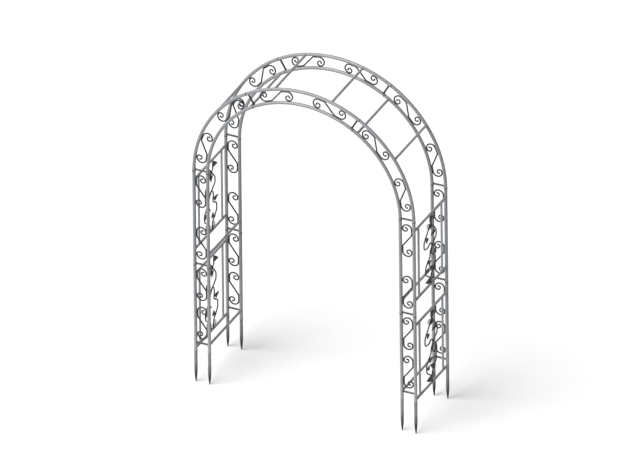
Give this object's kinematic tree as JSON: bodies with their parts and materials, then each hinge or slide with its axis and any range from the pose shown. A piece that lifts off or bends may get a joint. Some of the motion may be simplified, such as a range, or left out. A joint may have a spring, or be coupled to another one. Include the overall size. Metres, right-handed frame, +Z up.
{
  "type": "garden arch",
  "caption": "Free-standing tubular garden arch with scrolled ladder frames, cross bars, vine side panels and ground spikes for climbing plants.",
  "frame": {"origin": "centre of the footprint, in the plane of the spike tips", "axes": "+X across the walkway, +Y from the front frame to the back frame, +Z up"},
  "size_m": [1.768, 0.558, 2.6404],
  "materials": {
    "frame_tube": "satin light grey powder coat",
    "cross_tube": "satin light grey powder coat",
    "wrought_bar": "satin charcoal paint over forged bar",
    "rung_bar": "satin charcoal paint",
    "leaf_iron": "charcoal paint over pressed leaf",
    "spike_steel": "mid grey coat, worn dark at the tip",
    "collar": "dark grey coat",
    "peg_steel": "grey coat",
    "screw": "dark zinc plate"
  },
  "bodies": {
    "root": {"front_left_lower_rails": "frame_tube", "front_left_upper_rails": "frame_tube", "front_right_lower_rails": "frame_tube", "front_right_upper_rails": "frame_tube", "front_arch_left_rails": "frame_tube", "front_arch_crown_rails": "frame_tube", "front_arch_right_rails": "frame_tube", "back_left_lower_rails": "frame_tube", "back_left_upper_rails": "frame_tube", "back_right_lower_rails": "frame_tube", "back_right_upper_rails": "frame_tube", "back_arch_left_rails": "frame_tube", "back_arch_crown_rails": "frame_tube", "back_arch_right_rails": "frame_tube", "front_left_lower_scrolls": "wrought_bar", "front_left_upper_scrolls": "wrought_bar", "front_right_lower_scrolls": "wrought_bar", "front_right_upper_scrolls": "wrought_bar", "front_arch_left_scrolls": "wrought_bar", "front_arch_crown_scrolls": "wrought_bar", "front_arch_right_scrolls": "wrought_bar", "back_left_lower_scrolls": "wrought_bar", "back_left_upper_scrolls": "wrought_bar", "back_right_lower_scrolls": "wrought_bar", "back_right_upper_scrolls": "wrought_bar", "back_arch_left_scrolls": "wrought_bar", "back_arch_crown_scrolls": "wrought_bar", "back_arch_right_scrolls": "wrought_bar", "front_left_outer_spike": "spike_steel", "front_left_inner_spike": "spike_steel", "front_right_outer_spike": "spike_steel", "front_right_inner_spike": "spike_steel", "back_left_outer_spike": "spike_steel", "back_left_inner_spike": "spike_steel", "back_right_outer_spike": "spike_steel", "back_right_inner_spike": "spike_steel", "left_upper_panel_frame": "cross_tube", "left_upper_panel_vine": "wrought_bar", "left_upper_panel_leaves": "leaf_iron", "left_lower_panel_frame": "cross_tube", "left_lower_panel_vine": "wrought_bar", "left_lower_panel_leaves": "leaf_iron", "right_upper_panel_frame": "cross_tube", "right_upper_panel_vine": "wrought_bar", "right_upper_panel_leaves": "leaf_iron", "right_lower_panel_frame": "cross_tube", "right_lower_panel_vine": "wrought_bar", "right_lower_panel_leaves": "leaf_iron", "front_rungs": "rung_bar", "back_rungs": "rung_bar", "front_connectors": "collar", "back_connectors": "collar", "arch_outer_bars": "cross_tube", "arch_inner_bars": "cross_tube", "left_inner_bars": "cross_tube", "right_inner_bars": "cross_tube", "bar_pegs": "peg_steel", "bar_screws": "screw"}
  },
  "joints": []
}
